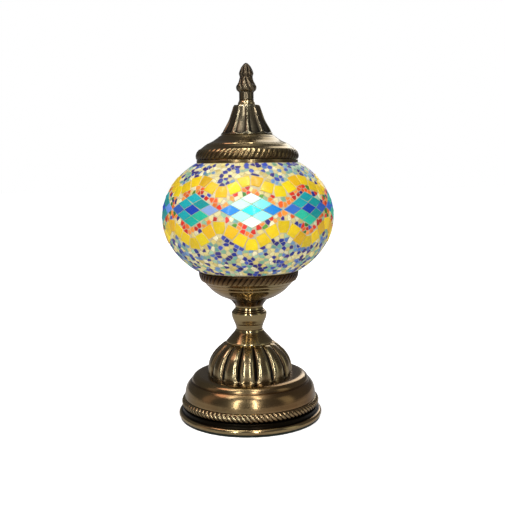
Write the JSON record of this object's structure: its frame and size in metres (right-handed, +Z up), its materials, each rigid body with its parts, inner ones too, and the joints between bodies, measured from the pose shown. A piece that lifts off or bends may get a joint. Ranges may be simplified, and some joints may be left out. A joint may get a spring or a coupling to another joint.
{
  "type": "mosaic glass table lamp",
  "caption": "Table lamp with an oval mosaic glass globe between a turned antique-bronze base and a fluted cap with a screw-on finial; the globe lifts off for the bulb.",
  "frame": {"origin": "centre of the underside, on the table", "axes": "+Z up along the lamp's axis, -Y towards the front, +X to the right; the mains cord's hole faces +Y"},
  "size_m": [0.1605, 0.1606, 0.3314],
  "materials": {
    "felt": "felt",
    "antique_bronze": "antique brown patina",
    "golden_bronze": "rubbed antique brass",
    "raw_brass": "machined",
    "steel": "zinc plated",
    "black_plastic": "moulded",
    "cream_plastic": "moulded",
    "porcelain": "unglazed white",
    "cable": "smooth sheath",
    "rubber": "matte",
    "bulb_glass": "frosted",
    "bulb_light": "lit filament",
    "clear_glass": "clear blown glass",
    "grout": "cream plaster grout",
    "chips": "cut glass chips",
    "yellow_glass": "cut opal glass",
    "teal_glass": "cut streaky glass",
    "blue_glass": "cut streaky glass",
    "navy_glass": "cut streaky glass"
  },
  "bodies": {
    "base": {"felt_pad": "felt", "bottom_plate": "steel", "base_shell": "antique_bronze", "base_rope_ring": "golden_bronze", "cord_bushing": "rubber", "terminal_block": "cream_plastic", "block_screws": "raw_brass", "internal_lead": "cable", "lower_washer": "steel", "lower_nut": "raw_brass", "centre_tube": "raw_brass", "fluted_dome": "golden_bronze", "flared_collar": "antique_bronze", "urn_knob": "antique_bronze", "cup": "antique_bronze", "cup_rope_ring": "golden_bronze", "globe_gasket": "rubber", "upper_washer": "steel", "upper_nut": "raw_brass", "holder_base": "black_plastic", "holder_body": "black_plastic", "contact_carrier": "porcelain", "centre_contact": "raw_brass", "terminal_screws": "raw_brass", "screw_shell": "raw_brass"},
    "bulb_foot": {"bulb_contact": "steel"},
    "bulb": {"bulb_insulator": "black_plastic", "bulb_cap": "steel", "bulb_glass": "bulb_glass", "bulb_stem": "clear_glass", "bulb_filament": "bulb_light"},
    "globe": {"globe_glass": "clear_glass", "grout_bed": "grout", "upper_chips": "chips", "lower_chips": "chips", "yellow_tiles": "yellow_glass", "teal_tiles": "teal_glass", "blue_tiles": "blue_glass", "navy_tiles": "navy_glass"},
    "cap": {"cap_gasket": "rubber", "cap_rim": "antique_bronze", "cap_rope_ring": "golden_bronze", "cap_cone": "golden_bronze", "cap_stud": "raw_brass", "cap_washer": "steel", "cap_nut": "raw_brass"},
    "finial_foot": {"finial_ring": "golden_bronze"},
    "finial": {"finial": "antique_bronze"}
  },
  "joints": [
    {"name": "globe_lift", "type": "slide", "parent": "base", "child": "globe", "axis": [0, 0, 1], "range_m": [0, 0.15]},
    {"name": "cap_lift", "type": "slide", "parent": "globe", "child": "cap", "axis": [0, 0, 1], "range_m": [0, 0.08]},
    {"name": "finial_climb", "type": "slide", "parent": "cap", "child": "finial_foot", "axis": [0, 0, 1], "range_m": [0, 0.01]},
    {"name": "finial_turn", "type": "hinge", "parent": "finial_foot", "child": "finial", "pos_m": [0, 0, 0.3], "axis": [0, 0, 1], "range_deg": [0, 2880]},
    {"name": "bulb_climb", "type": "slide", "parent": "base", "child": "bulb_foot", "axis": [0, 0, 1], "range_m": [0, 0.0141]},
    {"name": "bulb_turn", "type": "hinge", "parent": "bulb_foot", "child": "bulb", "pos_m": [0, 0, 0.15], "axis": [0, 0, 1], "range_deg": [0, 1800]}
  ],
  "couplings": [
    {"joint": "finial_climb", "follows": "finial_turn", "m_per_rad": 0.00019894},
    {"joint": "bulb_climb", "follows": "bulb_turn", "m_per_rad": 0.00044881}
  ]
}
